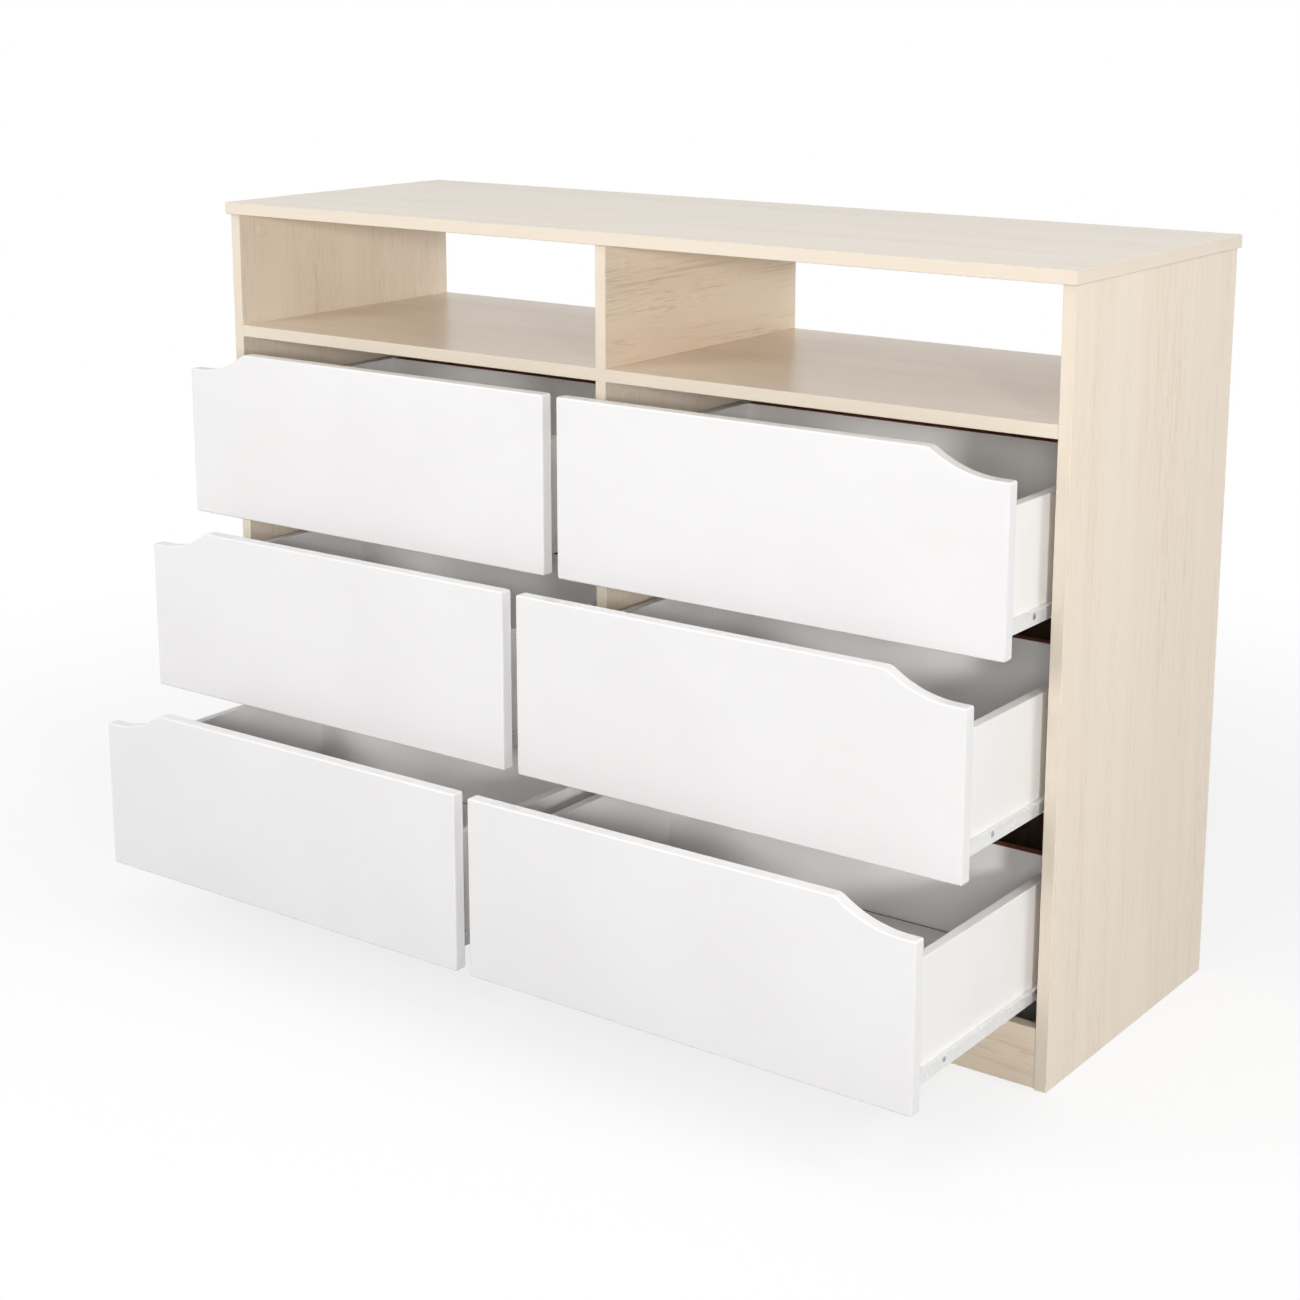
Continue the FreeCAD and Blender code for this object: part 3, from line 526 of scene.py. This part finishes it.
# each row's bottoms get the painted shadow line a little in front of the face of that row's backs
for row in ROWS:
    back_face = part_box(f"{row}_left_back")[0][1]
    lined_foil = make_foil(f"white_foil_{row}_bottom", gap_shade_from=back_face - BOTTOM_LINE * MM)
    finish_nodes(lined_foil, [f"{row}_{column}_bottom" for column in COLUMNS])

# %% [markdown]
# ## Back panels, slides and fittings
# The back is brown hardboard with a matted fibre look. The slides are steel under a thick white epoxy
# coat and their rollers are white nylon. The cam locks are cast zinc. The dowels are beech, which takes
# the wood grain group again, in its own colours.

# %% Finish the back and the hardware
HARDBOARD_COLOURS = ((0.155, 0.088, 0.052), (0.115, 0.063, 0.037))
EPOXY_COLOURS = ((0.83, 0.83, 0.82), (0.79, 0.79, 0.78))
NYLON_COLOURS = ((0.80, 0.80, 0.765), (0.74, 0.74, 0.70))
ZINC_COLOURS = ((0.60, 0.61, 0.62), (0.48, 0.49, 0.50))
BEECH_PALE, BEECH_DARK = (0.66, 0.47, 0.29), (0.50, 0.33, 0.18)
BEECH_GLOSS, BEECH_DEPTH_MM = (0.70, 0.58), 0.05


def make_beech():
    material, tree, shader, place = new_material("beech", {})
    grain = use_group(tree, wood_grain, vector=place, pale=(*BEECH_PALE, 1), dark=(*BEECH_DARK, 1),
                      lines=0.8)
    join(tree, grain["Color"], shader["Base Color"])
    vary_roughness(tree, shader, grain["Height"], *BEECH_GLOSS)
    add_bump(tree, shader, grain["Height"], BEECH_DEPTH_MM)
    return material


hardboard = make_mottled("brown_hardboard", HARDBOARD_COLOURS, patches=60.0, texture=900.0,
                         gloss=(0.67, 0.77), depth_mm=0.1)
epoxy = make_mottled("epoxy_white", EPOXY_COLOURS, patches=30.0, texture=900.0,
                     gloss=(0.26, 0.30), depth_mm=0.02)
nylon = make_mottled("nylon_white", NYLON_COLOURS, patches=80.0, texture=1500.0,
                     gloss=(0.35, 0.41), depth_mm=0.01)
zinc = make_mottled("cast_zinc", ZINC_COLOURS, patches=300.0, texture=2500.0,
                    gloss=(0.31, 0.41), depth_mm=0.02, Metallic=1.0)
finish_nodes(hardboard, ("back_panels",))
finish_nodes(epoxy, ["cabinet_rails"] + drawer_nodes("runners"))
finish_nodes(nylon, drawer_nodes("runner_rollers", "rail_rollers"))
finish_nodes(zinc, ("cam_locks",))
finish_nodes(make_beech(), ("dowels",))

# %% [markdown]
# ## Buttons of many kinds
# The small hardware is all round: screw heads, rivet heads, nail heads and the caps over the cam locks.
# Each starts as a short cylinder, and insets of its top face with a little lift turn the flat end into
# a dome or a flat cap with a soft rim. A sphere would be quicker but has the wrong outline from the side.

# %% Define how a button is modelled
LOOKS_UP = 0.9
SMOOTH_ANGLE = math.radians(32)


def select_top(piece):
    """In edit mode, selects only the faces that look up."""
    bpy.ops.object.mode_set(mode="EDIT")
    bpy.ops.mesh.select_mode(type="FACE")
    bpy.ops.mesh.select_all(action="DESELECT")
    bpy.ops.object.mode_set(mode="OBJECT")
    for face in piece.data.polygons:
        face.select = face.normal.z > LOOKS_UP
    bpy.ops.object.mode_set(mode="EDIT")


def model_button(name, corners, radius, wall, insets):
    """A cylinder that stands on the origin; each inset is (width, lift). Lengths are millimetres."""
    bpy.ops.object.select_all(action="DESELECT")
    bpy.ops.mesh.primitive_cylinder_add(
        vertices=corners, radius=radius * MM, depth=wall * MM, location=(0, 0, wall * MM / 2))
    button = bpy.context.object
    button.name = name
    bpy.ops.object.transform_apply(location=True, rotation=True, scale=True)
    select_top(button)
    for width, lift in insets:
        bpy.ops.mesh.inset(thickness=width * MM, depth=lift * MM)
    bpy.ops.object.mode_set(mode="OBJECT")
    bpy.ops.object.shade_smooth_by_angle(angle=SMOOTH_ANGLE)
    print(name, "has", len(button.data.polygons), "faces")
    return button


# %% Define how buttons are set in place
TOP_TOWARDS = {"x+": (0, math.pi / 2, 0), "x-": (0, -math.pi / 2, 0), "y+": (-math.pi / 2, 0, 0)}


def place_copies(name, models, places):
    """Joins copies into one piece; each place is (model, (x, y, z) in metres, side that it faces)."""
    copies = []
    for model, spot, side in places:
        bpy.ops.object.select_all(action="DESELECT")
        models[model].select_set(True)
        bpy.context.view_layer.objects.active = models[model]
        bpy.ops.object.duplicate(linked=False)
        copy = bpy.context.object
        copy.location = spot
        copy.rotation_euler = TOP_TOWARDS[side]
        copies.append(copy)
    bpy.ops.object.select_all(action="DESELECT")
    for copy in copies:
        copy.select_set(True)
    bpy.context.view_layer.objects.active = copies[0]
    if len(copies) > 1:
        bpy.ops.object.join()
    piece = bpy.context.object
    piece.name = name
    bpy.ops.object.transform_apply(location=True, rotation=True, scale=True)
    print(name, "joins", len(copies), "copies")
    return piece


def dress(piece, material, body):
    """Gives a finished piece its material and the body that it rides on."""
    piece.data.materials.clear()
    piece.data.materials.append(material)
    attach(piece, body)


# %% [markdown]
# ## Screws and rivets of the slides
# Three pan-head screws hold each runner to its drawer side, and the front one of them shows behind every
# open front as a small dark cross. The cross is cut with a boolean modifier, because a painted one would
# vanish from the side. The heads stand less than a millimetre proud, so that they pass the rollers of
# the fixed rail. A rivet head closes the axle of each roller.

# %% Model one screw and one rivet


def cut_cross(screw, length, width, depth, top):
    for turn in (0.0, math.pi / 2):
        bpy.ops.object.select_all(action="DESELECT")
        bpy.ops.mesh.primitive_cube_add(size=1, location=(0, 0, top * MM), rotation=(0, 0, turn))
        blade = bpy.context.object
        blade.scale = (length * MM, width * MM, 2 * depth * MM)
        bpy.ops.object.transform_apply(location=True, rotation=True, scale=True)
        cut = screw.modifiers.new("cross", "BOOLEAN")
        cut.object = blade
        cut.operation = "DIFFERENCE"
        bpy.context.view_layer.objects.active = screw
        bpy.ops.object.modifier_apply(modifier=cut.name)
        bpy.data.objects.remove(blade)


screw = model_button("pan_screw", corners=20, radius=3.4, wall=0.35,
                     insets=((0.25, 0.22), (0.55, 0.20), (0.80, 0.10)))
cut_cross(screw, length=3.6, width=0.9, depth=0.55, top=0.87)
rivet = model_button("roller_rivet", corners=20, radius=3.3, wall=0.40,
                     insets=((0.25, 0.18), (0.70, 0.20), (0.90, 0.10)))
print("screw with its cross has", len(screw.data.polygons), "faces")

# %% [markdown]
# The screws and rivets follow their slide: those of a runner ride on the drawer and count their steps
# from the front end of its side board, and those of a rail stay with the carcass. Both kinds take their
# place sideways from the outer face of the drawer side, so that they sit on the steel and not near it.

# %% Put screws and rivets on the slides
RUNNER_SCREW_STEPS, RUNNER_AXLE_STEP = (64, 264, 316), 341
RAIL_SCREW_PLACES, RAIL_AXLE_PLACE = (-145, 15, 143), -173
RUNNER_FACE, RAIL_FACE = 1.1, 11.4
RUNNER_RIVET_FACE, RAIL_RIVET_FACE = 9.3, 3.2
SCREW_LIFT, AXLE_LIFT = 8.5, 8.7
fasteners = {"screw": screw, "rivet": rivet}
rail_places = []
for drawer in DRAWERS:
    boards = [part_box(f"{drawer}_{side}") for side in ("inner_side", "outer_side")]
    left_face = min(low[0] for low, high in boards)
    right_face = max(high[0] for low, high in boards)
    front_y, foot_z = boards[0][0][1], boards[0][0][2]
    screw_z, axle_z = foot_z + SCREW_LIFT * MM, foot_z + AXLE_LIFT * MM
    runner_places = []
    for face, outward, out_side, in_side in ((left_face, -MM, "x-", "x+"), (right_face, MM, "x+", "x-")):
        for step in RUNNER_SCREW_STEPS:
            spot = (face + outward * RUNNER_FACE, front_y + step * MM, screw_z)
            runner_places.append(("screw", spot, out_side))
        spot = (face + outward * RUNNER_RIVET_FACE, front_y + RUNNER_AXLE_STEP * MM, axle_z)
        runner_places.append(("rivet", spot, out_side))
        for place in RAIL_SCREW_PLACES:
            spot = (face + outward * RAIL_FACE, place * MM, screw_z)
            rail_places.append(("screw", spot, in_side))
        spot = (face + outward * RAIL_RIVET_FACE, RAIL_AXLE_PLACE * MM, axle_z)
        rail_places.append(("rivet", spot, in_side))
    dress(place_copies(f"{drawer}_runner_fasteners", fasteners, runner_places), zinc,
          f"{drawer}_drawer")
dress(place_copies("rail_fasteners", fasteners, rail_places), zinc, "carcass")

# %% [markdown]
# ## Caps
# A thin cap covers each cam lock that would show. It is printed like the board round it and almost
# vanishes, apart from its rim, so the caps share the boards' own materials. The centre partition has
# its face in the plane of the divider above it.

# %% Cap the cam locks
CAM_PLACES = (-160, 160)
CUBBY_CAM_HEIGHT, BAY_CAM_HEIGHT = 846, 688
cap = model_button("cam_cap", corners=32, radius=8.6, wall=0.45,
                   insets=((0.35, 0.25), (0.40, 0.10), (4.5, 0.0)))


def cap_places(x, height, side):
    return [("cap", (x, y * MM, height * MM), side) for y in CAM_PLACES]


divider_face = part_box("cubby_divider")[1][0]
left_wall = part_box("left_side_panel")[1][0]
right_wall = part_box("right_side_panel")[0][0]
upright_caps = [
    *cap_places(left_wall, CUBBY_CAM_HEIGHT, "x+"),
    *cap_places(right_wall, CUBBY_CAM_HEIGHT, "x-"),
    *cap_places(divider_face, BAY_CAM_HEIGHT, "x+"),
]
divider_caps = cap_places(divider_face, CUBBY_CAM_HEIGHT, "x+")
dress(place_copies("upright_caps", {"cap": cap}, upright_caps), upright, "carcass")
dress(place_copies("divider_caps", {"cap": cap}, divider_caps), across, "carcass")

# %% [markdown]
# ## Nails
# The hardboard at the back is held by a row of nails round each panel, into the edges of the boards
# that it covers. Each panel has its nails at even steps, worked out from the box of both panels.

# %% Nail the back panels
NAIL_EDGE, NAIL_FOOT = 5.0, 30.0
NAIL_ROWS, NAIL_COLUMNS = 7, 5
nail = model_button("panel_nail", corners=12, radius=2.4, wall=0.30, insets=((0.35, 0.20), (0.8, 0.12)))
back_low, back_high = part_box("back_panels")
upper_nails, lower_nails = back_high[2] - NAIL_EDGE * MM, back_low[2] + NAIL_FOOT * MM
nail_places = []
for sign in (-1, 1):
    near, far = sign * NAIL_EDGE * MM, sign * (back_high[0] - NAIL_EDGE * MM)
    for k in range(NAIL_ROWS):
        z = lower_nails + (upper_nails - lower_nails) * k / (NAIL_ROWS - 1)
        nail_places += [("nail", (x, back_high[1], z), "y+") for x in (near, far)]
    for k in range(1, NAIL_COLUMNS - 1):
        x = near + (far - near) * k / (NAIL_COLUMNS - 1)
        nail_places += [("nail", (x, back_high[1], z), "y+") for z in (lower_nails, upper_nails)]
dress(place_copies("back_nails", {"nail": nail}, nail_places), zinc, "carcass")

# %% [markdown]
# ## The end
# The four buttons were only patterns for the copies, so they go. The hardware lies inside the box of
# the construction model, so the dressed dresser has the same box.

# %% Clear the patterns away
patterns = (screw, rivet, cap, nail)
for pattern in patterns:
    bpy.data.objects.remove(pattern)
print("cleared", len(patterns), "patterns")
